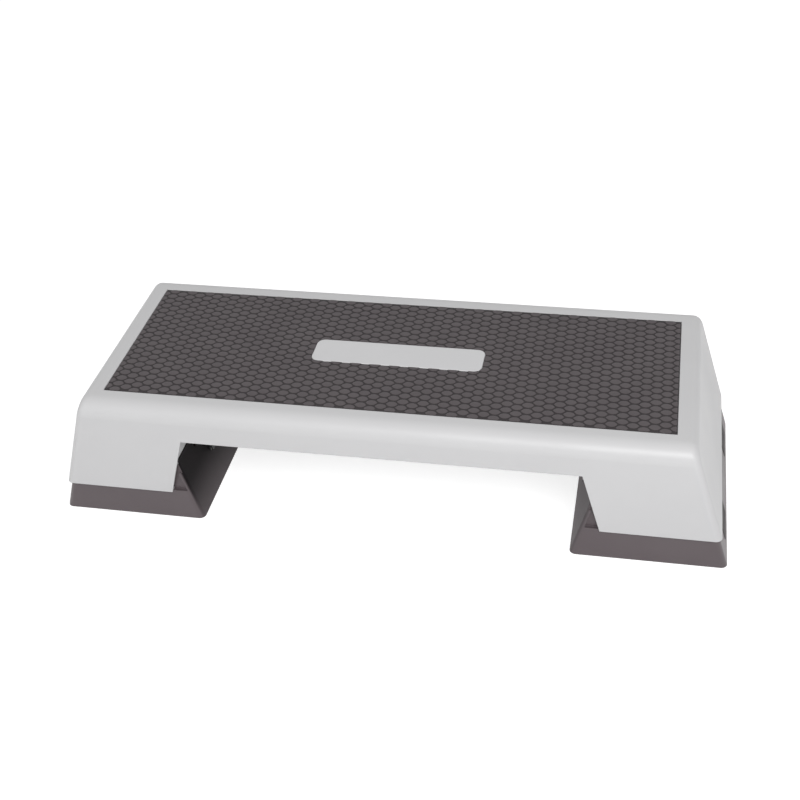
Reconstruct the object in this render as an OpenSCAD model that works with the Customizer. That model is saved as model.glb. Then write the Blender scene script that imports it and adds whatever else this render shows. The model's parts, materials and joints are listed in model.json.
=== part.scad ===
// Aerobic step platform: a ribbed moulded deck on two feet that swing out for a higher setting.
// Millimetres. Origin on the floor under the middle of the deck, +X along its length, +Z up.
// The right-hand half of each pair is modelled; the left-hand one is its mirror image.

/* [Deck] */
// Overall length at the floor, over both feet
overall_l = 983; // [967:2:1011]
// Width of the moulded deck
deck_w = 356; // [340:2:372]
// Height of the moulded deck, from leg rim to mat
deck_h = 151; // [148:1:154]
// Wall thickness of the deck moulding
wall_t = 3.5; // [3:0.25:4]
// Lean of the end walls from the vertical, degrees
end_lean = 17; // [15:0.5:18]
// Radius along the front and back top edges
edge_r = 25; // [20:1:32]
// Radius round each end, along its top edge and its two corners
end_r = 10; // [7:1:16]
// Thickness of the top under the mat
top_t = 3.4; // [3:0.2:4]
// Height of the front and back skirts, from the top
skirt_h = 55; // [50:1:60]
// Half the clear span between the legs, at the skirt's lower edge
arch_half = 286; // [284:1:288]
// Lean of the inner edge of each leg from the vertical, degrees
leg_lean = 15.6; // [14:0.2:17]
// Thickness of the ribs under the deck
rib_t = 2.6; // [2:0.2:3.4]
// Spacing of the ribs that run along the deck
rib_pitch_y = 62; // [54:1:70]
// Spacing of the ribs that run across the deck
rib_pitch_x = 94; // [80:1:104]

/* [Tread mat] */
// Length of the mat
mat_l = 814; // [790:2:830]
// Width of the mat
mat_w = 280; // [270:2:290]
// Thickness of the mat's sheet
mat_t = 2; // [1.6:0.2:2.4]
// Height of the raised pads over the sheet
pad_h = 1; // [0.8:0.2:1.4]
// Height of the pads over the deck's rim
mat_proud = 0.4; // [0.2:0.1:0.8]
// Spacing of the columns of pads
pad_px = 14.5; // [14:0.25:16]
// Spacing of the pads in a column
pad_py = 14.25; // [13.5:0.25:16]
// Length of one pad, from point to point
pad_l = 17.2; // [16:0.2:17.6]
// Width of one pad
pad_w = 12; // [10:0.2:12.4]
// Length of the plain plate in the middle
plate_l = 254; // [236:2:276]
// Width of the plain plate
plate_w = 56; // [48:1:64]
// Corner radius of the plain plate
plate_r = 12; // [8:1:16]
// Play round the mat and round the plate
mat_play = 0.4; // [0.3:0.1:0.6]

/* [Feet] */
// Height of the band of the foot that shows under the legs
foot_h = 52.5; // [49:0.5:55]
// Half the clear span between the feet, at the floor
foot_in = 271.5; // [270.5:0.5:272.5]
// Lean of the foot's inner panel from the vertical, degrees
panel_lean = 15.5; // [14.5:0.25:16]
// Step of the band in from the deck, at the outer end
end_step = 4.5; // [3.5:0.5:6]
// Play between the foot's band and the inside of the skirts
side_play = 1.7; // [1.4:0.1:2.2]
// Step of the gussets in from the band's face
gusset_in = 4.8; // [4.4:0.2:5.6]
// Wall thickness of the foot
foot_t = 3.5; // [3:0.25:4]
// Plan corner radius of the foot
foot_r = 9; // [8:1:16]
// Gap between the leg rims and the ledge they rest over
seat_gap = 0.3; // [0.25:0.05:0.4]
// Width of the raised rim along the gusset's sloping edge
gusset_rim_w = 5; // [4.5:0.5:8]
// Diameter of the round rubber feet
pad_d = 24; // [20:1:28]
// Height of the foot moulding over the floor
pad_stand = 1; // [0.8:0.1:1.4]

/* [Hinge] */
// Distance of each hinge from the middle
hinge_x = 306; // [305:0.5:307]
// Height of each hinge over the floor
hinge_z = 101.5; // [100.5:0.5:102.5]
// Swing of a foot from this setting to the high one, degrees
swing = 107; // [105:0.5:107]
// Diameter of the hinge rods
rod_d = 8; // [7:0.5:8.5]
// Outside diameter of the hinge barrels
barrel_d = 13; // [12.5:0.5:14]
// Radial play of the rod in its bushes
bush_play = 0.05; // [0.03:0.01:0.08]
// Wall of the bushes
bush_t = 1.15; // [1:0.05:1.3]
// Length of each bush
bush_l = 14; // [10:1:20]
// Distance of the deck's hinge arms from the middle line
arm_y = 104; // [98:1:110]
// Width of each hinge arm
arm_w = 14; // [12:1:16]
// Gap beside anything that swings
swing_play = 0.8; // [0.6:0.1:1]

/* [Fastenings] */
// Thread diameter of the keeper screws
screw_d = 3; // [2.5:0.5:3.5]
// Distance of the hooks from the middle line
hook_y = 71; // [66:1:76]
// Width of each hook
hook_w = 10; // [9:1:12]

/* [Hidden] */
$fn = 96;
eps = 0.01;
big = 1200;

top_z = foot_h + deck_h;
rim_z = top_z - mat_proud;
leg_z = foot_h;
skirt_z = top_z - skirt_h;
recess_d = mat_t + pad_h - mat_proud;
under_z = rim_z - recess_d - top_t;
deck_hw = deck_w / 2;
end_x = (overall_l / 2 + end_step) * cos(end_lean);
// The rounded ends start just outside the seat of the mat.
end_from = mat_l / 2 + mat_play + 1;

foot_hw = deck_hw - wall_t - side_play;
gusset_hw = foot_hw - gusset_in;
foot_end_x = overall_l / 2 * cos(end_lean);
panel_x = foot_in * cos(panel_lean);
ledge_z = leg_z - seat_gap;
face_d = (hinge_x - foot_in) * cos(panel_lean) - hinge_z * sin(panel_lean);
barrel_r = barrel_d / 2;
rod_r = rod_d / 2;
bush_r = rod_r + bush_play + bush_t;

// The inner wall stops where the panel's face comes to rest after its swing.
panel_dir = 180 - panel_lean - swing;
wall_z = (face_d + hinge_z * sin(panel_dir)
          - (arch_half + skirt_z * tan(leg_lean) - hinge_x) * cos(panel_dir))
         / (sin(panel_dir) - tan(leg_lean) * cos(panel_dir)) + swing_play / 2;
// The ribs clear the foot's inner corner, which rises as the foot swings.
corner_up = hinge_z - (foot_in - hinge_x) * sin(swing) - hinge_z * cos(swing);
rib_z = corner_up + 2 * swing_play;
leg_rib_up = 18;
leg_rib_z = hinge_z + barrel_d + leg_rib_up;
lip_in = deck_hw - gusset_hw - swing_play;
rod_seat = 0.04;
saddle_l = 14;
rod_cover = 1.2;
saddle_in = min(arch_half + (skirt_z - hinge_z) * tan(leg_lean), hinge_x - rod_r - rod_cover);
saddle_gap = 0.6;
saddle_w = deck_hw - wall_t / 2 - gusset_hw - saddle_gap;
saddle_y = gusset_hw + saddle_gap + saddle_w / 2;
keeper_w = deck_hw - wall_t - 0.1 - gusset_hw - saddle_gap;
keeper_y = gusset_hw + saddle_gap + keeper_w / 2;
screw_off = 9.5;
screw_grip = 8;
head_h = 2;
arm_sweep = 18.5;
arm_back = 4;
arm_root = 14;
brace_lean = 30;
pad_seat = 4;
pad_inset = 30;
pad_xs = [foot_in + pad_inset, overall_l / 2 - 1.15 * pad_inset];
pad_y = foot_hw - 1.1 * pad_inset;
tray_rib_in = 56;
tray_rib_pitch = 52;
leg_rib_in = 60;
arm_low = 4;
saddle_over = 3;
least_r = 0.5;
end_pad_t = 1.7;
end_pad_w = 60;
end_pad_h = 28;
end_pad_y = 95;
end_pad_z = ledge_z / 2 * cos(end_lean) - (overall_l / 2 - ledge_z / 2 * tan(end_lean)) * sin(end_lean);
hook_t = 1.8;
hook_reach = 6;
hook_top = 31;
hook_bend = 42;
hook_low = 51;
hook_screw_z = (hook_top + hook_bend) / 2;
edge_in = 1;
arch_r = 1.5;

function leg_x(z) = arch_half + (skirt_z - z) * tan(leg_lean);
function end_face(z, o) = (end_x - o) / cos(end_lean) - z * tan(end_lean);
function panel_face(z) = foot_in + z * tan(panel_lean);

// Helpers

// Extrudes an outline drawn in X and Z along Y, centred
module along_y(w) { rotate([90, 0, 0]) linear_extrude(w, center = true) children(); }

// Extrudes an outline drawn in Y and Z along X, centred
module along_x(l) { rotate([90, 0, 90]) linear_extrude(l, center = true) children(); }

// A block with two rounded corners at its +X end, leaning by a given angle
module leaning_block(x1, hw, r, lean) {
  rotate([0, -lean, 0]) translate([0, 0, -big / 4]) linear_extrude(big) {
    translate([-big, -hw]) square([big + x1 - r, 2 * hw]);
    translate([-big, r - hw]) square([big + x1, 2 * (hw - r)]);
    for (s = [-1, 1]) translate([x1 - r, s * (hw - r)]) circle(r);
  }
}

module rounded_plate(l, w, r, t) {
  linear_extrude(t) {
    square([l - 2 * r, w], center = true);
    square([l, w - 2 * r], center = true);
    for (sx = [-1, 1]) for (sy = [-1, 1]) translate([sx * (l / 2 - r), sy * (w / 2 - r)]) circle(r);
  }
}

// Deck

// Outline of the deck seen from the front, inset by o, with rounded ends to its top
module deck_side(o, top, r, low) {
  cz = top - r;
  cx = end_face(cz, o) - r / cos(end_lean);
  polygon([[-end_face(low, o), low], [end_face(low, o), low],
           [cx + r * cos(end_lean), cz + r * sin(end_lean)], [cx, cz], [cx, top],
           [-cx, top], [-cx, cz], [-cx - r * cos(end_lean), cz + r * sin(end_lean)]]);
  for (s = [-1, 1]) translate([s * cx, cz]) circle(r);
}

// Outline of the deck seen from the end
module deck_section(hw, top, r, low) {
  translate([-hw, low]) square([2 * hw, top - r - low]);
  translate([r - hw, low]) square([2 * (hw - r), top - low]);
  for (s = [-1, 1]) translate([s * (hw - r), top - r]) circle(r);
}

// An outline from [x0, y0] to [x1, y1] with its far corner rounded
module rounded_end(x0, x1, y0, y1, c) {
  translate([x0, y0]) square([x1 - x0, y1 - c - y0]);
  translate([x0, y0]) square([x1 - c - x0, y1 - y0]);
  intersection() {
    translate([x1 - c, y1 - c]) circle(c);
    translate([x0, y0]) square([x1 - x0, y1 - y0]);
  }
}

// One end of the deck, rounded all round with one radius, then leaned over; it starts at end_from
module deck_end(o, top, low) {
  hw = deck_hw - o;
  r = edge_r - o;
  c = end_r - o;
  x0 = end_from - edge_r;
  x1 = end_face(0, o);
  intersection() {
    multmatrix([[1, 0, -tan(end_lean), 0], [0, 1, 0, 0], [0, 0, 1, 0], [0, 0, 0, 1]]) {
      along_y(2 * (hw - r)) rounded_end(x0, x1, low, top, c);
      translate([0, 0, low]) linear_extrude(top - r - low)
        for (m = [0, 1]) mirror([0, m]) rounded_end(x0, x1, -r, hw, c);
      for (m = [0, 1]) mirror([0, m, 0]) translate([0, hw - r, top - r]) rotate([0, -90, 0])
        rotate_extrude(angle = 90) rotate(-90) rounded_end(x0, x1, 0, r, c);
    }
    translate([end_from, -big / 2, low - 10]) cube([big / 2, big, big]);
  }
}

module deck_form(o, top, low) {
  along_x(2 * end_from) deck_section(deck_hw - o, top, edge_r - o, low);
  for (m = [0, 1]) mirror([m, 0, 0]) deck_end(o, top, low);
}

// The same outline with plain corners, for what stays inside the walls
module deck_inside(o, top, low) {
  c = max(end_r - o, least_r);
  intersection() {
    along_y(2 * deck_w) deck_side(o, top, c, low);
    along_x(2 * overall_l) deck_section(deck_hw - o, top, edge_r - o, low);
    leaning_block(end_x - o, deck_hw - o, c, end_lean);
    mirror([1, 0, 0]) leaning_block(end_x - o, deck_hw - o, c, end_lean);
  }
}

// Opening between the legs, with a small radius where each leg meets the skirt
module arch() {
  r = arch_r;
  cx = leg_x(skirt_z - r) - r / cos(leg_lean);
  along_y(2 * deck_w) {
    polygon([[-leg_x(-1), -1], [leg_x(-1), -1],
             [cx + r * cos(leg_lean), skirt_z - r + r * sin(leg_lean)], [cx, skirt_z - r], [cx, skirt_z],
             [-cx, skirt_z], [-cx, skirt_z - r],
             [-cx - r * cos(leg_lean), skirt_z - r + r * sin(leg_lean)]]);
    for (s = [-1, 1]) translate([s * cx, skirt_z - r]) circle(r);
  }
}

// Wall that closes each leg towards the middle
module inner_wall() {
  along_y(deck_w) polygon([[leg_x(wall_z), wall_z], [leg_x(wall_z) + wall_t, wall_z],
                           [leg_x(rim_z) + wall_t, rim_z], [leg_x(rim_z), rim_z]]);
}

// Ribs of the middle bay and of one leg; the long ones end inside the inner walls
module middle_ribs() {
  for (y = [-2 : 2]) translate([0, y * rib_pitch_y, 0]) along_y(rib_t)
    polygon([[-leg_x(rib_z) - 1, rib_z], [leg_x(rib_z) + 1, rib_z],
             [leg_x(rim_z) + 1, rim_z], [-leg_x(rim_z) - 1, rim_z]]);
  for (x = [-2 : 2]) translate([x * rib_pitch_x - rib_t / 2, -deck_hw, rib_z])
    cube([rib_t, deck_w, rim_z - rib_z]);
}

module leg_ribs() {
  for (y = [-2 : 2]) translate([0, y * rib_pitch_y, 0]) along_y(rib_t)
    polygon([[leg_x(leg_rib_z) + 1, leg_rib_z], [overall_l / 2, leg_rib_z],
             [overall_l / 2, rim_z], [leg_x(rim_z) + 1, rim_z]]);
  for (x = [0, 1]) translate([arch_half + leg_rib_in + x * rib_pitch_x * 0.6, -deck_hw, leg_rib_z])
    cube([rib_t, deck_w, rim_z - leg_rib_z]);
}

// Arm that carries the hinge rod, standing down from the inner wall
module hinge_arm() {
  z1 = wall_z + arm_low;
  z2 = leg_rib_z + arm_root;
  along_y(arm_w) {
    polygon([[leg_x(z1), z1], [hinge_x - barrel_r, hinge_z + 1], [hinge_x - barrel_r, hinge_z],
             [hinge_x + barrel_r, hinge_z], [hinge_x + barrel_r + arm_back, z1 + arm_root],
             [hinge_x + barrel_r + arm_back, z2], [leg_x(z2) + 1, z2], [leg_x(z2), z2]]);
    translate([hinge_x, hinge_z]) circle(barrel_r);
  }
}

// Outline of the upper half of the saddle that holds each end of a hinge rod
module saddle_outline() {
  intersection() {
    union() {
      translate([hinge_x, hinge_z]) circle(barrel_r);
      translate([hinge_x - saddle_over, hinge_z])
        square([saddle_over + saddle_l, barrel_r + saddle_over]);
    }
    translate([saddle_in, hinge_z]) square([3 * barrel_d, 2 * barrel_d]);
  }
}

// Rim that turns in along the foot of each leg and rests over the foot's ledge
module leg_lip() {
  difference() {
    intersection() {
      deck_inside(wall_t / 2, rim_z, leg_z - 1);
      translate([-big, -big, leg_z]) cube([2 * big, 2 * big, wall_t]);
    }
    deck_inside(lip_in, rim_z, leg_z - 1);
  }
}

module deck_shell() color("gainsboro") {
  difference() {
    union() {
      difference() {
        deck_form(0, rim_z, leg_z);
        deck_form(wall_t, under_z, leg_z - 1);
        arch();
      }
      intersection() {
        deck_inside(wall_t / 2, rim_z - recess_d - top_t / 2, leg_z);
        union() {
          middle_ribs();
          for (m = [0, 1]) mirror([m, 0, 0]) {
            inner_wall();
            leg_ribs();
            for (s = [-1, 1]) {
              translate([0, s * arm_y, 0]) hinge_arm();
              translate([0, s * saddle_y, 0]) along_y(saddle_w) saddle_outline();
            }
          }
        }
      }
      difference() {
        leg_lip();
        arch();
      }
    }
    // Seat for the mat and the plate
    translate([0, 0, rim_z - recess_d]) linear_extrude(big)
      square([mat_l + 2 * mat_play, mat_w + 2 * mat_play], center = true);
    // Seats for the hinge rods and their keeper screws
    for (m = [0, 1]) mirror([m, 0, 0]) {
      translate([hinge_x, 0, hinge_z]) rotate([90, 0, 0])
        cylinder(r = rod_r + rod_seat, h = 2 * (deck_hw - wall_t), center = true);
      for (s = [-1, 1]) translate([hinge_x + screw_off, s * keeper_y, hinge_z - 1])
        cylinder(d = screw_d, h = screw_grip + 1);
    }
  }
}

// Tread mat

// One pad, pointed at both ends
module pad() {
  r = (pow(pad_l / 2, 2) + pow(pad_w / 2, 2)) / pad_w;
  intersection() {
    translate([0, r - pad_w / 2]) circle(r);
    translate([0, pad_w / 2 - r]) circle(r);
  }
}

module plate_window() {
  square([plate_l + 2 * mat_play - 2 * plate_r, plate_w + 2 * mat_play], center = true);
  square([plate_l + 2 * mat_play, plate_w + 2 * mat_play - 2 * plate_r], center = true);
  for (sx = [-1, 1]) for (sy = [-1, 1])
    translate([sx * (plate_l / 2 + mat_play - plate_r), sy * (plate_w / 2 + mat_play - plate_r)])
      circle(plate_r);
}

// Where a pad stands: 0 none, 1 whole, 2 cut by an edge
function pad_state(x, y) =
  (abs(x) < plate_l / 2 - plate_r && abs(y) < plate_w / 2 - pad_w / 2 + 1) ? 0 :
  (abs(x) < plate_l / 2 - pad_l / 2 + 1 && abs(y) < plate_w / 2 - plate_r) ? 0 :
  (abs(x) > mat_l / 2 + 2 || abs(y) > mat_w / 2 + 1) ? 0 :
  (abs(x) > mat_l / 2 - pad_l / 2 - edge_in || abs(y) > mat_w / 2 - pad_w / 2 - edge_in) ? 2 :
  (abs(x) < plate_l / 2 + pad_l / 2 + 1 && abs(y) < plate_w / 2 + pad_w / 2 + 1) ? 2 : 1;

module tread_mat() color("dimgray") translate([0, 0, rim_z - recess_d]) {
  nx = floor(mat_l / 2 / pad_px);
  ny = ceil(mat_w / 2 / pad_py);
  linear_extrude(mat_t) difference() {
    square([mat_l, mat_w], center = true);
    plate_window();
  }
  translate([0, 0, mat_t]) for (i = [-nx : nx]) for (j = [-ny : ny]) {
    x = i * pad_px;
    y = (j + (abs(i) % 2) / 2) * pad_py;
    if (pad_state(x, y) == 1) translate([x, y, 0]) linear_extrude(pad_h) pad();
    if (pad_state(x, y) == 2) linear_extrude(pad_h) difference() {
      intersection() {
        translate([x, y]) pad();
        square([mat_l - 2 * edge_in, mat_w - 2 * edge_in], center = true);
      }
      plate_window();
    }
  }
}

module centre_plate() color("lightgray") translate([0, 0, rim_z - recess_d])
  rounded_plate(plate_l, plate_w, plate_r, mat_t + pad_h);

// Hinge rods and what holds them

module right_axle() color("silver") translate([hinge_x, 0, hinge_z]) rotate([90, 0, 0])
  cylinder(d = rod_d, h = 2 * (deck_hw - wall_t - seat_gap), center = true);

module keeper() {
  difference() {
    along_y(keeper_w) intersection() {
      union() {
        translate([hinge_x, hinge_z]) circle(barrel_r);
        translate([hinge_x, hinge_z - barrel_r]) square([saddle_l, barrel_r]);
      }
      translate([saddle_in, hinge_z - barrel_d]) square([3 * barrel_d, barrel_d]);
    }
    translate([hinge_x, 0, hinge_z]) rotate([90, 0, 0])
      cylinder(r = rod_r + rod_seat, h = 4 * keeper_w, center = true);
    translate([hinge_x + screw_off, 0, hinge_z - barrel_d]) cylinder(d = screw_d + 0.2, h = 2 * barrel_d);
  }
}

module right_axle_keepers() color("dimgray")
  for (s = [-1, 1]) translate([0, s * keeper_y, 0]) keeper();

module keeper_screws() color("silver")
  for (m = [0, 1]) mirror([m, 0, 0]) for (s = [-1, 1])
    translate([hinge_x + screw_off, s * keeper_y, hinge_z - barrel_r]) {
      translate([0, 0, -head_h]) difference() {
        cylinder(d = 1.7 * screw_d, h = head_h);
        translate([0, 0, -eps]) cylinder(d = 0.8 * screw_d, h = head_h / 2);
      }
      translate([0, 0, -head_h / 4]) cylinder(d = screw_d, h = barrel_r + screw_grip - 0.5 + head_h / 4);
    }

// Feet

module panel_block(o, hw, r) {
  mirror([1, 0, 0]) leaning_block(-panel_x - o, hw, r, panel_lean);
}

module foot_form(o, z0, z1) {
  intersection() {
    leaning_block(foot_end_x - o, foot_hw - o, foot_r - o, end_lean);
    panel_block(o, foot_hw - o, foot_r - o);
    translate([0, -big, z0]) cube([big, 2 * big, z1 - z0]);
  }
}

// Side outline of the part of the foot that stands up inside the leg
module brace_outline() {
  polygon([[panel_face(ledge_z - 1), ledge_z - 1], [panel_face(hinge_z), hinge_z],
           [hinge_x + barrel_r * sin(brace_lean), hinge_z + barrel_r * cos(brace_lean)],
           [hinge_x + (hinge_z - ledge_z + 1) / tan(brace_lean), ledge_z - 1]]);
}

// Frame on the panel: X out of the foot's back, Z up along the panel, origin at the hinge
module on_panel() {
  translate([hinge_x, 0, hinge_z]) rotate([0, panel_lean, 0]) children();
}

module foot_tray() {
  difference() {
    foot_form(0, pad_stand, ledge_z);
    foot_form(foot_t, pad_stand - 1, ledge_z - foot_t);
  }
  intersection() {
    foot_form(foot_t / 2, pad_stand + 4, ledge_z - foot_t / 2);
    union() {
      for (y = [-1 : 1]) translate([0, y * rib_pitch_y * 1.4 - rib_t / 2, 0]) cube([big, rib_t, big]);
      for (x = [0 : 2]) translate([foot_in + tray_rib_in + tray_rib_pitch * x, -big, 0])
        cube([rib_t, 2 * big, big]);
    }
  }
  for (x = pad_xs) for (s = [-1, 1]) translate([x, s * pad_y, pad_stand + 1])
    cylinder(d = pad_d + 5, h = ledge_z - pad_stand - 2);
}

// Everything outside the gussets' faces
module beside_gussets() {
  for (s = [-1, 1]) translate([-big, s * (gusset_hw + big) - big, -big]) cube(2 * big);
}

module foot_brace() {
  difference() {
    intersection() {
      panel_block(0, foot_hw, foot_r);
      along_y(deck_w) brace_outline();
    }
    panel_block(foot_t + 0.4, gusset_hw - foot_t, foot_r - foot_t - 2);
    // The gussets step in from the band, behind a raised rim that ends short of the hinge
    intersection() {
      beside_gussets();
      on_panel() translate([gusset_rim_w - face_d, -big, -big]) cube(2 * big);
    }
    intersection() {
      beside_gussets();
      translate([-big, -big, hinge_z - 1.35 * barrel_d]) cube(2 * big);
    }
  }
  for (y = [-1 : 1]) translate([0, y * rib_pitch_y * 0.9, 0]) intersection() {
    along_y(rib_t) brace_outline();
    panel_block(foot_t / 2, gusset_hw, foot_r);
  }
  translate([hinge_x, 0, hinge_z]) rotate([90, 0, 0])
    cylinder(d = barrel_d, h = 2 * gusset_hw, center = true);
}

module right_foot() color("dimgray") difference() {
  union() {
    foot_tray();
    foot_brace();
  }
  translate([hinge_x, 0, hinge_z]) rotate([90, 0, 0]) {
    cylinder(r = rod_r + 4 * bush_play, h = deck_w, center = true);
    for (s = [-1, 1]) translate([0, 0, s * gusset_hw]) cylinder(r = bush_r, h = 2 * bush_l, center = true);
  }
  // Room for the hinge arms as the foot swings
  for (s = [-1, 1]) translate([hinge_x, s * arm_y, hinge_z]) rotate([90, 0, 0])
    cylinder(r = arm_sweep, h = arm_w + 2 * swing_play, center = true);
  // Seats for the rubber feet, the end pads and the hook screws
  for (x = pad_xs) for (s = [-1, 1]) translate([x, s * pad_y, 0]) {
    cylinder(d = pad_d + 0.2, h = pad_seat);
    cylinder(d = pad_d / 4, h = 3 * pad_seat);
  }
  end_pad_blocks(end_pad_t, end_pad_t, 0.1);
  for (s = [-1, 1]) translate([0, s * hook_y, 0]) on_panel()
    translate([-face_d - 1, 0, -hook_screw_z]) rotate([0, 90, 0]) cylinder(d = screw_d, h = foot_t + 2);
}

module right_axle_bushes() color("dimgray")
  for (s = [-1, 1]) translate([hinge_x, s * (gusset_hw - bush_l / 2), hinge_z]) rotate([90, 0, 0])
    difference() {
      cylinder(r = bush_r, h = bush_l, center = true);
      cylinder(r = rod_r + bush_play, h = 2 * bush_l, center = true);
    }

module right_floor_pads() color("dimgray")
  for (x = pad_xs) for (s = [-1, 1]) translate([x, s * pad_y, 0]) {
    difference() {
      cylinder(d = pad_d, h = pad_seat);
      translate([0, 0, -eps]) cylinder(d = pad_d / 2, h = pad_stand * 0.6);
    }
    cylinder(d = pad_d / 4, h = 3 * pad_seat - 1);
  }

// Pads let into the outer end face, which stands on the floor at the high setting
module end_pad_blocks(depth, proud, gap) {
  rotate([0, -end_lean, 0]) for (s = [-1, 1])
    translate([foot_end_x - depth, s * end_pad_y - end_pad_w / 2 - gap, end_pad_z - end_pad_h / 2 - gap])
      cube([depth + proud, end_pad_w + 2 * gap, end_pad_h + 2 * gap]);
}

module right_end_pads() color("dimgray") end_pad_blocks(end_pad_t, pad_stand * 0.8, 0);

// The screw sits above the hook's lip
module right_hooks() color("black")
  for (s = [-1, 1]) translate([0, s * hook_y, 0]) on_panel() difference() {
    along_y(hook_w) translate([-face_d, 0])
      polygon([[0, -hook_low], [0, -hook_top], [-hook_t, -hook_top], [-hook_t, -hook_bend],
               [hook_t / 2 - hook_reach, -hook_bend], [-hook_reach, -hook_bend - hook_t / 2],
               [-hook_reach, hook_t / 2 - hook_low], [hook_t - hook_reach, -hook_low],
               [hook_t - hook_reach, -hook_bend - hook_t], [-hook_t, -hook_bend - hook_t],
               [-hook_t, -hook_low]]);
    translate([-face_d - 2 * hook_t, 0, -hook_screw_z]) rotate([0, 90, 0])
      cylinder(d = screw_d + 0.2, h = 3 * hook_t);
  }

module right_hook_screws() color("silver")
  for (s = [-1, 1]) translate([0, s * hook_y, 0]) on_panel()
    translate([-face_d - hook_t, 0, -hook_screw_z]) rotate([0, 90, 0]) {
      translate([0, 0, -head_h]) difference() {
        cylinder(d = 1.7 * screw_d, h = head_h);
        translate([0, 0, -eps]) cylinder(d = 0.8 * screw_d, h = head_h / 2);
      }
      translate([0, 0, -head_h / 4]) cylinder(d = screw_d, h = hook_t + foot_t - 0.3 + head_h / 4);
    }

// The left-hand side

module left_axle() mirror([1, 0, 0]) right_axle();
module left_axle_keepers() mirror([1, 0, 0]) right_axle_keepers();
module left_foot() mirror([1, 0, 0]) right_foot();
module left_axle_bushes() mirror([1, 0, 0]) right_axle_bushes();
module left_floor_pads() mirror([1, 0, 0]) right_floor_pads();
module left_end_pads() mirror([1, 0, 0]) right_end_pads();
module left_hooks() mirror([1, 0, 0]) right_hooks();
module left_hook_screws() mirror([1, 0, 0]) right_hook_screws();

deck_shell();
tread_mat();
centre_plate();
left_axle();
right_axle();
left_axle_keepers();
right_axle_keepers();
keeper_screws();
left_foot();
right_foot();
left_axle_bushes();
right_axle_bushes();
left_floor_pads();
right_floor_pads();
left_end_pads();
right_end_pads();
left_hooks();
right_hooks();
left_hook_screws();
right_hook_screws();
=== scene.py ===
"""Aerobic step platform: its looks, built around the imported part.

Lengths are in metres, in the part's own frame: +X along the deck, +Y to the back, +Z up from the floor.
"""

import json
import math

import bpy
from mathutils import Matrix, Vector


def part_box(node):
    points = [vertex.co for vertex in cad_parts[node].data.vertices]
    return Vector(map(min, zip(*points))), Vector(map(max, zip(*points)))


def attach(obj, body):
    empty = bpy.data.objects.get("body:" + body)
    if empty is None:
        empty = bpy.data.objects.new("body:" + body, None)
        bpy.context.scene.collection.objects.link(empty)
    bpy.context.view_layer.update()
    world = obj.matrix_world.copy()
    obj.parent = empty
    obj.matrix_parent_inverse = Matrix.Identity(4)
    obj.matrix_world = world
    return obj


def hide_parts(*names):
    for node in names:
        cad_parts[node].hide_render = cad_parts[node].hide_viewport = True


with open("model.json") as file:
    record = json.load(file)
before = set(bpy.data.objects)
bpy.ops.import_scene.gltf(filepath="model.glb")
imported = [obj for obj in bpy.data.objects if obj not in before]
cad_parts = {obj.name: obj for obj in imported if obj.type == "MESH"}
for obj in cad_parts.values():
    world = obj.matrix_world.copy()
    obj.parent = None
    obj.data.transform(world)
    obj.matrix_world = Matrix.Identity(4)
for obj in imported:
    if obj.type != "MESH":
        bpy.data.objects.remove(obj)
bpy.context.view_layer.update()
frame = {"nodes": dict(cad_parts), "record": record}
nodes = frame["nodes"]
scene = bpy.context.scene

# Where the photograph was taken from

CAMERA_PLACE = (0.35488, -1.55417, 1.27904)
CAMERA_TURN = math.radians(12.900)
CAMERA_RISE = math.radians(35.988)
CAMERA_ROLL = math.radians(-3.311)
CAMERA_LENS_MM = 58.683
SENSOR_MM = 36.0
CAMERA_REACH = 60.0

# The tread mat and its plate, repeated from the part's source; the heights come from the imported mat

MAT_LENGTH = 0.814
MAT_WIDTH = 0.280
MAT_SHEET = 0.002
MAT_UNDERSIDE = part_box("tread_mat")[0][2]
SHEET_TOP = MAT_UNDERSIDE + MAT_SHEET
PAD_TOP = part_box("tread_mat")[1][2]
PAD_PITCH_X = 0.0145
PAD_PITCH_Y = 0.01425
PAD_LENGTH = 0.0172
PAD_WIDTH = 0.0120
PAD_BORDER = 0.001
PLATE_LENGTH = 0.254
PLATE_WIDTH = 0.056
PLATE_CORNER = 0.012
PLATE_PLAY = 0.0004

# What the scene adds to them: softened edges, crowned pads whose roots sit in the sheet, and smooth corners

SHEET_EDGE = 0.0003
PLATE_EDGE = 0.0009
WINDOW_CORNER_STEPS = 8
PLATE_CORNER_STEPS = 12
PAD_SIDE_STEPS = 7
PAD_ROOT = 0.0004
MAT_SHARP_DEGREES = 40.0
PLATE_SHARP_DEGREES = 35.0

# Each ring of a pad: its share of the pad's outline, and its share of the pad's height

PAD_RINGS = ((1.0, 0.0), (0.985, 0.45), (0.93, 0.74), (0.80, 0.92), (0.50, 0.99))

# How far a pad may miss an outline and still count as crossing it, and how far the trimming blocks stand over

PAD_SLACK = 0.001
TRIM_OVER = 0.001

# A foot's inner panel is found by how far it faces back to the middle. It is dull, and carries painted shade,
# darkest up under the deck, the right foot's by a share as much; the same mask dims its specular.

PANEL_FACING = (-0.55, -0.85)
PANEL_UNSHADED_Z = -0.030
PANEL_FULL_SHADE_Z = 0.072
PANEL_PAINTED_SHADE = (0.012, 0.010, 0.011)
PANEL_ROUGH = 0.6
PANEL_SPECULAR = 0.06
RIGHT_PANEL_SHARE = 0.3
BETWEEN_FEET = 0.05

# Moulded plastics: the base colour and the darker shade it drifts to, the shade of a rubbed edge and of dust,
# the roughness from smooth to dull, the depth of the grain, and the values of the shared groups

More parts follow.
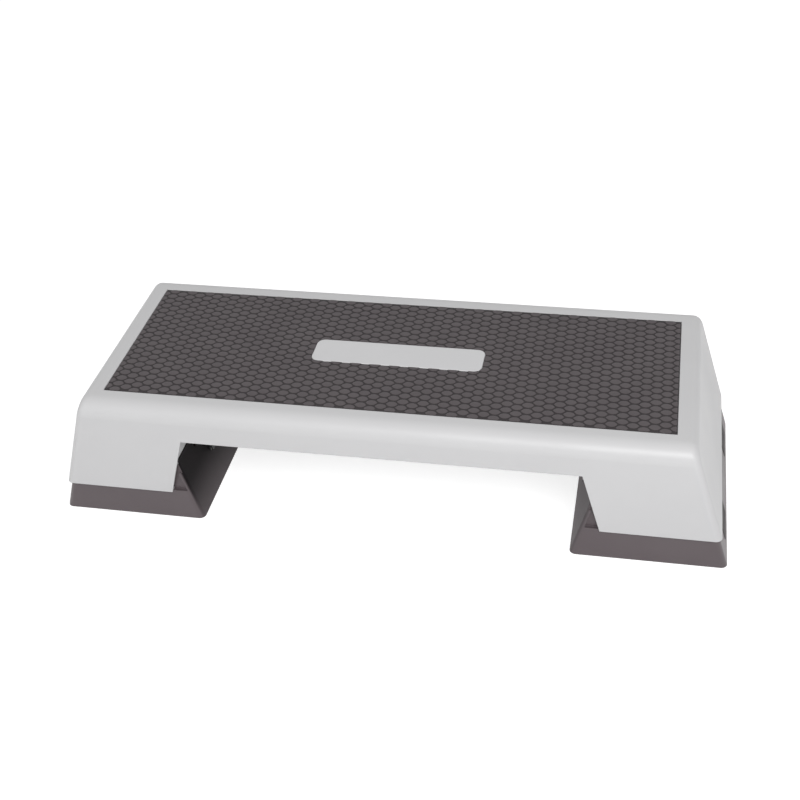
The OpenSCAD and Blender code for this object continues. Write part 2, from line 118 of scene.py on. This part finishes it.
MOULDED_FINISHES = {
    "deck_plastic": dict(
        shade=(0.604, 0.602, 0.609), drift=(0.586, 0.584, 0.592), rubbed=(0.690, 0.690, 0.695),
        dust=(0.62, 0.61, 0.60), dust_share=0.10, rough=(0.36, 0.44), specular=0.45,
        grain_depth=0.00005, grains=1500.0, mottle=7.0, radius=0.0010),
    "plate_plastic": dict(
        shade=(0.652, 0.650, 0.660), drift=(0.632, 0.630, 0.640), rubbed=(0.76, 0.76, 0.77),
        dust=(0.62, 0.61, 0.60), dust_share=0.08, rough=(0.30, 0.38), specular=0.5,
        grain_depth=0.00003, grains=2200.0, mottle=14.0, radius=0.0006),
    "foot_plastic": dict(
        shade=(0.099, 0.080, 0.086), drift=(0.090, 0.072, 0.078), rubbed=(0.150, 0.136, 0.139),
        dust=(0.30, 0.28, 0.27), dust_share=0.08, rough=(0.38, 0.48), specular=0.45,
        grain_depth=0.00007, grains=1200.0, mottle=11.0, radius=0.0010, inner_panel=True),
    "keeper_plastic": dict(
        shade=(0.075, 0.075, 0.075), drift=(0.062, 0.062, 0.063), rubbed=(0.13, 0.13, 0.13),
        dust=(0.25, 0.24, 0.23), dust_share=0.10, rough=(0.44, 0.55), specular=0.4,
        grain_depth=0.00005, grains=1800.0, mottle=60.0, radius=0.0005),
    "bush_nylon": dict(
        shade=(0.034, 0.032, 0.032), drift=(0.028, 0.026, 0.026), rubbed=(0.07, 0.07, 0.07),
        dust=(0.16, 0.15, 0.15), dust_share=0.06, rough=(0.34, 0.46), specular=0.4,
        grain_depth=0.00002, grains=2500.0, mottle=120.0, radius=0.0003),
    "hook_plastic": dict(
        shade=(0.012, 0.012, 0.013), drift=(0.009, 0.009, 0.010), rubbed=(0.045, 0.045, 0.046),
        dust=(0.12, 0.12, 0.12), dust_share=0.06, rough=(0.28, 0.38), specular=0.45,
        grain_depth=0.00002, grains=2500.0, mottle=90.0, radius=0.0005),
}

# Patches of wear and of dust are finer than a moulding's mottle by these factors

WEAR_PATCHES = 8.0
DUST_PATCHES = 3.0
WORN_SMOOTHER = 0.08

# The tread mat, the rubber pads under and at the ends of the feet, and the steel of the rods and screws

# The mat's groove colour is painted shade in the grooves between the pads
MAT_FINISH = dict(
    pad=(0.088, 0.0755, 0.080), pad_drift=(0.078, 0.0665, 0.071), groove_shade=(0.032, 0.027, 0.029),
    dust=(0.22, 0.21, 0.20), dust_share=0.08, dust_patches=18.0, pad_rough=0.62, groove_rough=0.82,
    fade=0.0001, specular=0.3, sheen=0.06, sheen_rough=0.5, grain_depth=0.00012, grains=1100.0, mottle=16.0)
PAD_FINISH = dict(
    shade=(0.074, 0.068, 0.069), drift=(0.060, 0.055, 0.056), scuffed=(0.12, 0.11, 0.11),
    rough=(0.70, 0.85), specular=0.3, grain_depth=0.00008, grains=1600.0, mottle=45.0,
    radius=0.0006, scuffs=300.0)
STEEL_FINISHES = {
    "rod_steel": dict(
        bright=(0.58, 0.58, 0.59), clouded=(0.50, 0.50, 0.51), rough=(0.22, 0.38),
        stretch=0.02, lines_depth=0.00002, radius=0.0002),
    "screw_steel": dict(
        bright=(0.56, 0.57, 0.60), clouded=(0.46, 0.47, 0.48), rough=(0.28, 0.42),
        stretch=1.0, lines_depth=0.00001, radius=0.0002),
}

# The studio: only the camera and what it sees in a gloss meet the floor's glow, which makes the floor white
# outside the shadow and sends no light to the object

FLOOR_HALF = 9.0
FLOOR_SHADE = 0.70
FLOOR_ROUGH = 0.9
FLOOR_GLOW = 0.70
ROOM_LIGHT = 0.43
WHITE = (1.0, 1.0, 1.0, 1.0)

# Each lamp: place, the point it faces, width, height, power in watts

LAMPS = {
    "front_softbox": ((0.7, -2.1, 2.0), (0.0, 0.0, 0.12), 1.8, 1.0, 51.0),
    "left_fill": ((-2.2, -1.6, 1.3), (-0.1, 0.0, 0.1), 1.4, 1.4, 8.0),
    "right_fill": ((2.2, -0.7, 0.12), (0.45, 0.0, 0.04), 1.4, 0.2, 1.6),
}


# Shader building

def add(tree, kind, sockets=None, **settings):
    """Adds a shader node; a socket's value is a plain value, or the output that feeds it."""
    made = tree.nodes.new(kind)
    for name, value in settings.items():
        setattr(made, name, value)
    for name, value in (sockets or {}).items():
        if isinstance(value, bpy.types.NodeSocket):
            tree.links.new(value, made.inputs[name])
        else:
            made.inputs[name].default_value = value
    return made


def maths(tree, operation, first, second=0.0):
    """One sum on two values, each a number or an output."""
    return add(tree, "ShaderNodeMath", {0: first, 1: second}, operation=operation).outputs[0]


def spread(tree, value, low, high, to_low=0.0, to_high=1.0, smooth=False):
    """Maps a value from one range to another, clamped at its ends."""
    sockets = {"Value": value, "From Min": low, "From Max": high, "To Min": to_low, "To Max": to_high}
    kind = "SMOOTHSTEP" if smooth else "LINEAR"
    return add(tree, "ShaderNodeMapRange", sockets, interpolation_type=kind).outputs["Result"]


# The mix node's colour sockets, by number, because their names repeat

MIX_FIRST = 6
MIX_SECOND = 7
MIX_RESULT = 2


def blend_colours(tree, share, first, second):
    """Mixes two colours by a share that changes over the surface."""
    made = add(tree, "ShaderNodeMix", {"Factor": share}, data_type="RGBA")
    for socket, colour in ((made.inputs[MIX_FIRST], first), (made.inputs[MIX_SECOND], second)):
        if isinstance(colour, bpy.types.NodeSocket):
            tree.links.new(colour, socket)
        else:
            socket.default_value = (*colour, 1.0)
    return made.outputs[MIX_RESULT]


def roughen(tree, shader, height, depth, normal=None):
    """Raises a height over the surface as bumps, on top of another normal where one is given."""
    sockets = {"Height": height, "Distance": depth, "Strength": 1.0}
    if normal is not None:
        sockets["Normal"] = normal
    bump = add(tree, "ShaderNodeBump", sockets)
    tree.links.new(bump.outputs["Normal"], shader.inputs["Normal"])


def watched_rays(tree):
    """1 for the rays that the camera sees straight, in a gloss or through glass, and 0 for the others."""
    seen = add(tree, "ShaderNodeLightPath")
    watched = maths(tree, "MAXIMUM", seen.outputs["Is Camera Ray"], seen.outputs["Is Glossy Ray"])
    return maths(tree, "MAXIMUM", watched, seen.outputs["Is Transmission Ray"])


def start_group(name, takes, gives):
    """Starts a shader node group with named number inputs and named outputs."""
    group = bpy.data.node_groups.new(name, "ShaderNodeTree")
    for label, value in takes.items():
        socket = group.interface.new_socket(name=label, in_out="INPUT", socket_type="NodeSocketFloat")
        socket.default_value = value
    for label, kind in gives.items():
        group.interface.new_socket(name=label, in_out="OUTPUT", socket_type=kind)
    return group, group.nodes.new("NodeGroupInput"), group.nodes.new("NodeGroupOutput")


def moulded_grain_group():
    """The fine spark grain of a mould, and the slow change in shade of a large moulded wall."""
    group, given, result = start_group(
        "moulded_grain",
        {"Grains per Metre": 1500.0, "Mottle per Metre": 9.0},
        {"Height": "NodeSocketFloat", "Mottle": "NodeSocketFloat"},
    )
    place = add(group, "ShaderNodeTexCoord").outputs["Object"]
    fine = add(group, "ShaderNodeTexNoise", {
        "Vector": place, "Scale": given.outputs["Grains per Metre"], "Detail": 3.0, "Roughness": 0.6})
    cells = add(group, "ShaderNodeTexVoronoi", {
        "Vector": place, "Scale": given.outputs["Grains per Metre"]}, feature="SMOOTH_F1")
    slow = add(group, "ShaderNodeTexNoise", {
        "Vector": place, "Scale": given.outputs["Mottle per Metre"], "Detail": 4.0, "Roughness": 0.55})
    bumpy = maths(group, "ADD", cells.outputs["Distance"], 0.5)
    height = maths(group, "MULTIPLY", fine.outputs["Fac"], bumpy)
    group.links.new(height, result.inputs["Height"])
    group.links.new(spread(group, slow.outputs["Fac"], 0.3, 0.7), result.inputs["Mottle"])
    return group


def edge_wear_group():
    """Where an edge is: a worn mask, and the normal of the small rounding that a mould leaves there."""
    group, given, result = start_group(
        "edge_wear",
        {"Edge Radius": 0.0008, "Patches per Metre": 70.0},
        {"Worn": "NodeSocketFloat", "Rounded Normal": "NodeSocketVector"},
    )
    rounded = add(group, "ShaderNodeBevel", {"Radius": given.outputs["Edge Radius"]}, samples=6)
    plain = add(group, "ShaderNodeNewGeometry").outputs["Normal"]
    turned = add(group, "ShaderNodeVectorMath", {
        0: rounded.outputs["Normal"], 1: plain}, operation="DOT_PRODUCT")
    edge = spread(group, turned.outputs["Value"], 0.995, 0.85)
    place = add(group, "ShaderNodeTexCoord").outputs["Object"]
    patches = add(group, "ShaderNodeTexNoise", {
        "Vector": place, "Scale": given.outputs["Patches per Metre"], "Detail": 5.0, "Roughness": 0.65})
    worn = maths(group, "MULTIPLY", edge, spread(group, patches.outputs["Fac"], 0.35, 0.65))
    group.links.new(worn, result.inputs["Worn"])
    group.links.new(rounded.outputs["Normal"], result.inputs["Rounded Normal"])
    return group


def settled_dust_group():
    """A thin film of dust on what faces up."""
    group, given, result = start_group(
        "settled_dust",
        {"Patches per Metre": 25.0, "Specks per Metre": 900.0},
        {"Dust": "NodeSocketFloat"},
    )
    coordinates = add(group, "ShaderNodeTexCoord")
    up = add(group, "ShaderNodeSeparateXYZ", {"Vector": coordinates.outputs["Normal"]}).outputs["Z"]
    patches = add(group, "ShaderNodeTexNoise", {
        "Vector": coordinates.outputs["Object"], "Scale": given.outputs["Patches per Metre"], "Detail": 6.0})
    specks = add(group, "ShaderNodeTexNoise", {
        "Vector": coordinates.outputs["Object"], "Scale": given.outputs["Specks per Metre"], "Detail": 2.0})
    film = maths(group, "MULTIPLY", spread(group, up, 0.55, 0.98, smooth=True),
                 spread(group, patches.outputs["Fac"], 0.35, 0.75, 0.25, 1.0))
    speckled = maths(group, "MULTIPLY", film, spread(group, specks.outputs["Fac"], 0.4, 0.7, 0.6, 1.0))
    group.links.new(speckled, result.inputs["Dust"])
    return group


def drawn_metal_group():
    """The fine lines that drawing or turning leaves along steel, and the clouding of its plating."""
    group, given, result = start_group(
        "drawn_metal",
        {"Lines per Metre": 2600.0, "Stretch": 0.02, "Clouds per Metre": 160.0},
        {"Lines": "NodeSocketFloat", "Clouds": "NodeSocketFloat"},
    )
    place = add(group, "ShaderNodeTexCoord").outputs["Object"]
    squeeze = add(group, "ShaderNodeCombineXYZ", {"X": 1.0, "Y": given.outputs["Stretch"], "Z": 1.0})
    along = add(group, "ShaderNodeVectorMath", {
        0: place, 1: squeeze.outputs["Vector"]}, operation="MULTIPLY")
    lines = add(group, "ShaderNodeTexNoise", {
        "Vector": along.outputs["Vector"], "Scale": given.outputs["Lines per Metre"], "Detail": 2.0})
    clouds = add(group, "ShaderNodeTexNoise", {
        "Vector": place, "Scale": given.outputs["Clouds per Metre"], "Detail": 3.0})
    group.links.new(spread(group, lines.outputs["Fac"], 0.3, 0.7), result.inputs["Lines"])
    group.links.new(spread(group, clouds.outputs["Fac"], 0.35, 0.65), result.inputs["Clouds"])
    return group


MOULDED_GRAIN = moulded_grain_group()
EDGE_WEAR = edge_wear_group()
SETTLED_DUST = settled_dust_group()
DRAWN_METAL = drawn_metal_group()


def put_group(tree, group, **values):
    """Places a shared group with a material's own values; underscores stand for spaces in their names."""
    made = add(tree, "ShaderNodeGroup", node_tree=group)
    for name, value in values.items():
        made.inputs[name.replace("_", " ")].default_value = value
    return made


# Materials

def start_material(name):
    """A new material with its Principled shader."""
    made = bpy.data.materials.new(name)
    made.use_nodes = True
    return made, made.node_tree, made.node_tree.nodes["Principled BSDF"]


def shade_inner_panel(tree, shader, colour, dull, specular):
    """A foot's colour and dullness, its inner panel left in the mould's dull grain and darkened by painted
    shade.
    """
    coordinates = add(tree, "ShaderNodeTexCoord")
    place = add(tree, "ShaderNodeSeparateXYZ", {"Vector": coordinates.outputs["Object"]})
    faced = add(tree, "ShaderNodeSeparateXYZ", {"Vector": coordinates.outputs["Normal"]}).outputs["X"]
    outward = maths(tree, "MULTIPLY", faced, maths(tree, "SIGN", place.outputs["X"]))
    panel = spread(tree, outward, *PANEL_FACING, smooth=True)
    # Painted shade: the panel darkens towards the deck above it, the right foot's by a share as much, and its
    # specular is dimmed with it
    up_under = spread(tree, place.outputs["Z"], PANEL_UNSHADED_Z, PANEL_FULL_SHADE_Z, smooth=True)
    side = spread(tree, place.outputs["X"], -BETWEEN_FEET, BETWEEN_FEET, 1.0, RIGHT_PANEL_SHARE)
    painted_shade = maths(tree, "MULTIPLY", maths(tree, "MULTIPLY", panel, up_under), side)
    glint = spread(tree, painted_shade, 0.0, 1.0, specular, PANEL_SPECULAR)
    tree.links.new(glint, shader.inputs["Specular IOR Level"])
    return blend_colours(tree, painted_shade, colour, PANEL_PAINTED_SHADE), spread(tree, panel, 0.0, 1.0, dull, PANEL_ROUGH)


def moulded_plastic(name, shade, drift, rubbed, dust, dust_share, rough, specular,
                    grain_depth, grains, mottle, radius, inner_panel=False):
    """Injection-moulded plastic: fine grain, slow mottling, softened and rubbed edges, a little dust."""
    made, tree, shader = start_material(name)
    grain = put_group(tree, MOULDED_GRAIN, Grains_per_Metre=grains, Mottle_per_Metre=mottle)
    wear = put_group(tree, EDGE_WEAR, Edge_Radius=radius, Patches_per_Metre=mottle * WEAR_PATCHES)
    film = put_group(tree, SETTLED_DUST, Patches_per_Metre=mottle * DUST_PATCHES)
    body = blend_colours(tree, grain.outputs["Mottle"], shade, drift)
    edged = blend_colours(tree, wear.outputs["Worn"], body, rubbed)
    colour = blend_colours(tree, maths(tree, "MULTIPLY", film.outputs["Dust"], dust_share), edged, dust)
    dull = spread(tree, grain.outputs["Mottle"], 0.0, 1.0, *rough)
    shader.inputs["Specular IOR Level"].default_value = specular
    if inner_panel:
        colour, dull = shade_inner_panel(tree, shader, colour, dull, specular)
    tree.links.new(colour, shader.inputs["Base Color"])
    smoother = maths(tree, "MULTIPLY", wear.outputs["Worn"], WORN_SMOOTHER)
    tree.links.new(maths(tree, "SUBTRACT", dull, smoother), shader.inputs["Roughness"])
    roughen(tree, shader, grain.outputs["Height"], grain_depth, wear.outputs["Rounded Normal"])
    return made


def mat_rubber(pad, pad_drift, groove_shade, dust, dust_share, dust_patches, pad_rough, groove_rough,
               fade, specular, sheen, sheen_rough, grain_depth, grains, mottle):
    """The tread mat's rubber: pebbled pads, and painted shade that darkens the duller grooves between them.
    """
    made, tree, shader = start_material("mat_rubber")
    grain = put_group(tree, MOULDED_GRAIN, Grains_per_Metre=grains, Mottle_per_Metre=mottle)
    film = put_group(tree, SETTLED_DUST, Patches_per_Metre=dust_patches)
    place = add(tree, "ShaderNodeTexCoord").outputs["Object"]
    height = add(tree, "ShaderNodeSeparateXYZ", {"Vector": place}).outputs["Z"]
    # Painted shade: the sheet between the pads takes the darker groove colour
    raised = spread(tree, height, SHEET_TOP + fade, PAD_TOP - fade, smooth=True)
    pad_colour = blend_colours(tree, grain.outputs["Mottle"], pad, pad_drift)
    colour = blend_colours(tree, raised, groove_shade, pad_colour)
    dusted = blend_colours(tree, maths(tree, "MULTIPLY", film.outputs["Dust"], dust_share), colour, dust)
    tree.links.new(dusted, shader.inputs["Base Color"])
    tree.links.new(spread(tree, raised, 0.0, 1.0, groove_rough, pad_rough), shader.inputs["Roughness"])
    roughen(tree, shader, grain.outputs["Height"], grain_depth)
    shader.inputs["Specular IOR Level"].default_value = specular
    shader.inputs["Sheen Weight"].default_value = sheen
    shader.inputs["Sheen Roughness"].default_value = sheen_rough
    return made


def pad_rubber(shade, drift, scuffed, rough, specular, grain_depth, grains, mottle, radius, scuffs):
    """Dark grey rubber of the floor and end pads: fine grain, scuffed paler on its edges."""
    made, tree, shader = start_material("pad_rubber")
    grain = put_group(tree, MOULDED_GRAIN, Grains_per_Metre=grains, Mottle_per_Metre=mottle)
    wear = put_group(tree, EDGE_WEAR, Edge_Radius=radius, Patches_per_Metre=scuffs)
    body = blend_colours(tree, grain.outputs["Mottle"], shade, drift)
    tree.links.new(blend_colours(tree, wear.outputs["Worn"], body, scuffed), shader.inputs["Base Color"])
    tree.links.new(spread(tree, grain.outputs["Mottle"], 0.0, 1.0, *rough), shader.inputs["Roughness"])
    roughen(tree, shader, grain.outputs["Height"], grain_depth, wear.outputs["Rounded Normal"])
    shader.inputs["Specular IOR Level"].default_value = specular
    return made


def bare_steel(name, bright, clouded, rough, stretch, lines_depth, radius):
    """Drawn or zinc-plated steel with its lines, its clouding and its softened edges."""
    made, tree, shader = start_material(name)
    drawn = put_group(tree, DRAWN_METAL, Stretch=stretch)
    wear = put_group(tree, EDGE_WEAR, Edge_Radius=radius)
    colour = blend_colours(tree, drawn.outputs["Clouds"], bright, clouded)
    tree.links.new(colour, shader.inputs["Base Color"])
    tree.links.new(spread(tree, drawn.outputs["Lines"], 0.0, 1.0, *rough), shader.inputs["Roughness"])
    roughen(tree, shader, drawn.outputs["Lines"], lines_depth, wear.outputs["Rounded Normal"])
    shader.inputs["Metallic"].default_value = 1.0
    return made


def dress_nodes():
    """Makes a material for each of the record's slots, and gives each CAD node the one of its slot."""
    finishes = {name: moulded_plastic(name, **values) for name, values in MOULDED_FINISHES.items()}
    finishes["mat_rubber"] = mat_rubber(**MAT_FINISH)
    finishes["pad_rubber"] = pad_rubber(**PAD_FINISH)
    for name, values in STEEL_FINISHES.items():
        finishes[name] = bare_steel(name, **values)
    for part in frame["record"]["subparts"]:
        for holder in nodes[part["node"]].material_slots:
            holder.material = finishes[part["material_slot"]]
    return finishes


# Shapes

def rounded_outline(length, width, corner, corner_steps):
    """Points round a rectangle with rounded corners, middle at the origin."""
    points = []
    for quarter, (side_x, side_y) in enumerate(((1, 1), (-1, 1), (-1, -1), (1, -1))):
        middle_x = side_x * (length / 2 - corner)
        middle_y = side_y * (width / 2 - corner)
        for step in range(corner_steps + 1):
            turn = math.radians(90.0 * quarter + 90.0 * step / corner_steps)
            points.append((middle_x + corner * math.cos(turn), middle_y + corner * math.sin(turn)))
    return points


def slab(name, outlines, low, high, edge):
    """A flat slab between two heights from its outline and any holes, with rounded edges."""
    curve = bpy.data.curves.new(name, "CURVE")
    curve.dimensions = "2D"
    curve.fill_mode = "BOTH"
    curve.extrude = (high - low) / 2 - edge
    curve.bevel_depth = edge
    curve.bevel_resolution = 2
    curve.offset = -edge
    for points in outlines:
        line = curve.splines.new("POLY")
        line.points.add(len(points) - 1)
        for place, (x, y) in zip(line.points, points):
            place.co = (x, y, 0.0, 1.0)
        line.use_cyclic_u = True
    drawn = bpy.data.objects.new(name + "_outline", curve)
    scene.collection.objects.link(drawn)
    bpy.context.view_layer.update()
    mesh = bpy.data.meshes.new_from_object(drawn.evaluated_get(bpy.context.evaluated_depsgraph_get()))
    bpy.data.objects.remove(drawn)
    mesh.transform(Matrix.Translation((0.0, 0.0, (low + high) / 2)))
    return mesh


def finish_piece(name, mesh, body, replaced, material, sharp_degrees):
    """Puts a finished mesh in the scene as a piece that stands for a CAD node."""
    for face in mesh.polygons:
        face.use_smooth = True
    mesh.set_sharp_from_angle(angle=math.radians(sharp_degrees))
    mesh.materials.clear()
    mesh.materials.append(material)
    piece = bpy.data.objects.new(name, mesh)
    scene.collection.objects.link(piece)
    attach(piece, body)
    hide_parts(replaced)


def pad_points():
    """The outline of one pad: two arcs that meet in a point at each end."""
    radius = ((PAD_LENGTH / 2) ** 2 + (PAD_WIDTH / 2) ** 2) / PAD_WIDTH
    half = math.asin(PAD_LENGTH / 2 / radius)
    upper = []
    for step in range(PAD_SIDE_STEPS):
        turn = half - 2 * half * step / PAD_SIDE_STEPS
        upper.append((radius * math.sin(turn), radius * math.cos(turn) - radius + PAD_WIDTH / 2))
    return upper + [(-x, -y) for x, y in upper]


def pad_mesh(name, places):
    """Softly crowned pads at the given places, each a closed shell whose root sits in the sheet."""
    outline = pad_points()
    around = len(outline)
    rise = PAD_TOP - SHEET_TOP
    rings = [(1.0, -PAD_ROOT)] + [(share, rise * height) for share, height in PAD_RINGS]
    points = []
    faces = []
    for middle_x, middle_y in places:
        first = len(points)
        for share, height in rings:
            level = SHEET_TOP + height
            points.extend((middle_x + share * x, middle_y + share * y, level) for x, y in outline)
        points.append((middle_x, middle_y, PAD_TOP))
        faces.append([first + i for i in reversed(range(around))])
        for ring in range(len(rings) - 1):
            low = first + ring * around
            for i in range(around):
                j = (i + 1) % around
                faces.append([low + i, low + j, low + around + j, low + around + i])
        last = first + (len(rings) - 1) * around
        faces.extend([last + i, last + (i + 1) % around, len(points) - 1] for i in range(around))
    mesh = bpy.data.meshes.new(name)
    mesh.from_pydata(points, [], faces)
    mesh.update()
    return mesh


def pad_places():
    """Where whole pads stand, and where the mat's border or the plate cuts them."""
    whole = []
    cut = []
    columns = int(MAT_LENGTH / 2 / PAD_PITCH_X)
    rows = math.ceil(MAT_WIDTH / 2 / PAD_PITCH_Y)
    for column in range(-columns, columns + 1):
        for row in range(-rows, rows + 1):
            x = column * PAD_PITCH_X
            y = (row + (abs(column) % 2) / 2) * PAD_PITCH_Y
            far_x, far_y = abs(x), abs(y)
            off_mat = far_x > MAT_LENGTH / 2 + 2 * PAD_SLACK or far_y > MAT_WIDTH / 2 + PAD_SLACK
            plate_across = (far_x < PLATE_LENGTH / 2 - PLATE_CORNER
                            and far_y < PLATE_WIDTH / 2 - PAD_WIDTH / 2 + PAD_SLACK)
            plate_along = (far_x < PLATE_LENGTH / 2 - PAD_LENGTH / 2 + PAD_SLACK
                           and far_y < PLATE_WIDTH / 2 - PLATE_CORNER)
            if off_mat or plate_across or plate_along:
                continue
            by_border = (far_x > MAT_LENGTH / 2 - PAD_LENGTH / 2 - PAD_BORDER
                         or far_y > MAT_WIDTH / 2 - PAD_WIDTH / 2 - PAD_BORDER)
            by_plate = (far_x < PLATE_LENGTH / 2 + PAD_LENGTH / 2 + PAD_SLACK
                        and far_y < PLATE_WIDTH / 2 + PAD_WIDTH / 2 + PAD_SLACK)
            (cut if by_border or by_plate else whole).append((x, y))
    return whole, cut


def cut_to_shape(mesh, cutters):
    """Trims a mesh with other meshes, each kept inside or taken away."""
    work = bpy.data.objects.new("pads_to_trim", mesh)
    scene.collection.objects.link(work)
    tools = []
    for operation, cutter_mesh in cutters:
        tool = bpy.data.objects.new("pad_trimmer", cutter_mesh)
        scene.collection.objects.link(tool)
        trim = work.modifiers.new(operation.lower(), "BOOLEAN")
        trim.operation = operation
        trim.solver = "EXACT"
        trim.object = tool
        tools.append(tool)
    bpy.context.view_layer.update()
    trimmed = bpy.data.meshes.new_from_object(work.evaluated_get(bpy.context.evaluated_depsgraph_get()))
    for spare in [work] + tools:
        bpy.data.objects.remove(spare)
    return trimmed


def prism(name, outline, low, high):
    """A straight-sided block from an outline."""
    count = len(outline)
    points = [(x, y, low) for x, y in outline] + [(x, y, high) for x, y in outline]
    faces = [list(reversed(range(count))), [count + i for i in range(count)]]
    faces += [[i, (i + 1) % count, count + (i + 1) % count, count + i] for i in range(count)]
    mesh = bpy.data.meshes.new(name)
    mesh.from_pydata(points, [], faces)
    return mesh


def join_meshes(name, meshes):
    """One mesh from several, each keeping its own shells."""
    points = []
    faces = []
    for mesh in meshes:
        first = len(points)
        points.extend(tuple(point.co) for point in mesh.vertices)
        faces.extend([first + i for i in face.vertices] for face in mesh.polygons)
    joined = bpy.data.meshes.new(name)
    joined.from_pydata(points, [], faces)
    joined.update()
    return joined


def build_tread_mat(rubber):
    """The mat: a thin sheet with the plate's window, and its field of pointed pads."""
    window = rounded_outline(
        PLATE_LENGTH + 2 * PLATE_PLAY, PLATE_WIDTH + 2 * PLATE_PLAY, PLATE_CORNER, WINDOW_CORNER_STEPS)
    border = [(MAT_LENGTH / 2, -MAT_WIDTH / 2), (MAT_LENGTH / 2, MAT_WIDTH / 2),
              (-MAT_LENGTH / 2, MAT_WIDTH / 2), (-MAT_LENGTH / 2, -MAT_WIDTH / 2)]
    sheet = slab("mat_sheet", [border, window], MAT_UNDERSIDE, SHEET_TOP, SHEET_EDGE)
    inside = [(x - math.copysign(PAD_BORDER, x), y - math.copysign(PAD_BORDER, y)) for x, y in border]
    whole, cut = pad_places()
    cut_pads = cut_to_shape(pad_mesh("cut_pads", cut), [
        ("INTERSECT", prism("border_block", inside, MAT_UNDERSIDE, PAD_TOP + TRIM_OVER)),
        ("DIFFERENCE", prism("window_block", window, MAT_UNDERSIDE, PAD_TOP + TRIM_OVER)),
    ])
    mesh = join_meshes("mat_with_pads", [sheet, pad_mesh("whole_pads", whole), cut_pads])
    finish_piece("mat_with_pads", mesh, "deck", "tread_mat", rubber, MAT_SHARP_DEGREES)


def build_centre_plate(plastic):
    """The blank plate: a rounded slab with softened edges, level with the pads."""
    outline = rounded_outline(PLATE_LENGTH, PLATE_WIDTH, PLATE_CORNER, PLATE_CORNER_STEPS)
    mesh = slab("blank_plate", [outline], MAT_UNDERSIDE, PAD_TOP, PLATE_EDGE)
    finish_piece("blank_plate", mesh, "deck", "centre_plate", plastic, PLATE_SHARP_DEGREES)


# The studio

def lay_floor():
    """A pale floor that reads white where it is lit, keeps the soft shadow and is clear from below."""
    corners = [(-FLOOR_HALF, -FLOOR_HALF, 0.0), (FLOOR_HALF, -FLOOR_HALF, 0.0),
               (FLOOR_HALF, FLOOR_HALF, 0.0), (-FLOOR_HALF, FLOOR_HALF, 0.0)]
    mesh = bpy.data.meshes.new("studio_floor")
    mesh.from_pydata(corners, [], [(0, 1, 2, 3)])
    floor = bpy.data.objects.new("studio_floor", mesh)
    scene.collection.objects.link(floor)
    made, tree, shader = start_material("studio_floor")
    shader.inputs["Base Color"].default_value = (FLOOR_SHADE, FLOOR_SHADE, FLOOR_SHADE, 1.0)
    shader.inputs["Roughness"].default_value = FLOOR_ROUGH
    shader.inputs["Specular IOR Level"].default_value = 0.0
    shader.inputs["Emission Color"].default_value = WHITE
    glow = maths(tree, "MULTIPLY", watched_rays(tree), FLOOR_GLOW)
    tree.links.new(glow, shader.inputs["Emission Strength"])
    from_below = add(tree, "ShaderNodeNewGeometry").outputs["Backfacing"]
    tree.links.new(maths(tree, "SUBTRACT", 1.0, from_below), shader.inputs["Alpha"])
    mesh.materials.append(made)


def light_room():
    """Even light from all round, which reads as white where the camera or a gloss sees it."""
    world = bpy.data.worlds.new("studio_room")
    scene.world = world
    world.use_nodes = True
    tree = world.node_tree
    tree.nodes.clear()
    strength = spread(tree, watched_rays(tree), 0.0, 1.0, ROOM_LIGHT, 1.0)
    room = add(tree, "ShaderNodeBackground", {"Color": WHITE, "Strength": strength})
    out = tree.nodes.new("ShaderNodeOutputWorld")
    tree.links.new(room.outputs["Background"], out.inputs["Surface"])


def hang_lamps():
    """Soft boxes that face the deck."""
    for name, (place, faced, width, height, power) in LAMPS.items():
        lamp = bpy.data.lights.new(name, "AREA")
        lamp.shape = "RECTANGLE"
        lamp.size = width
        lamp.size_y = height
        lamp.energy = power
        hung = bpy.data.objects.new(name, lamp)
        scene.collection.objects.link(hung)
        aim = (Vector(faced) - Vector(place)).to_track_quat("-Z", "Y")
        hung.matrix_world = Matrix.Translation(place) @ aim.to_matrix().to_4x4()


def set_camera():
    """The camera where the photograph was taken from, with its slight roll."""
    camera = bpy.data.cameras.new("photo_camera")
    camera.lens = CAMERA_LENS_MM
    camera.sensor_width = SENSOR_MM
    camera.sensor_fit = "HORIZONTAL"
    camera.clip_end = CAMERA_REACH
    holder = bpy.data.objects.new("photo_camera", camera)
    scene.collection.objects.link(holder)
    back = Vector((
        math.sin(CAMERA_TURN) * math.cos(CAMERA_RISE),
        -math.cos(CAMERA_TURN) * math.cos(CAMERA_RISE),
        math.sin(CAMERA_RISE)))
    level = Vector((math.cos(CAMERA_TURN), math.sin(CAMERA_TURN), 0.0))
    upright = back.cross(level)
    across = math.cos(CAMERA_ROLL) * level + math.sin(CAMERA_ROLL) * upright
    above = math.cos(CAMERA_ROLL) * upright - math.sin(CAMERA_ROLL) * level
    turned = Matrix((across, above, back)).transposed()
    holder.matrix_world = Matrix.Translation(CAMERA_PLACE) @ turned.to_4x4()
    scene.camera = holder


scene.view_settings.view_transform = "Standard"
set_camera()
finishes = dress_nodes()
build_tread_mat(finishes["mat_rubber"])
build_centre_plate(finishes["plate_plastic"])
lay_floor()
light_room()
hang_lamps()
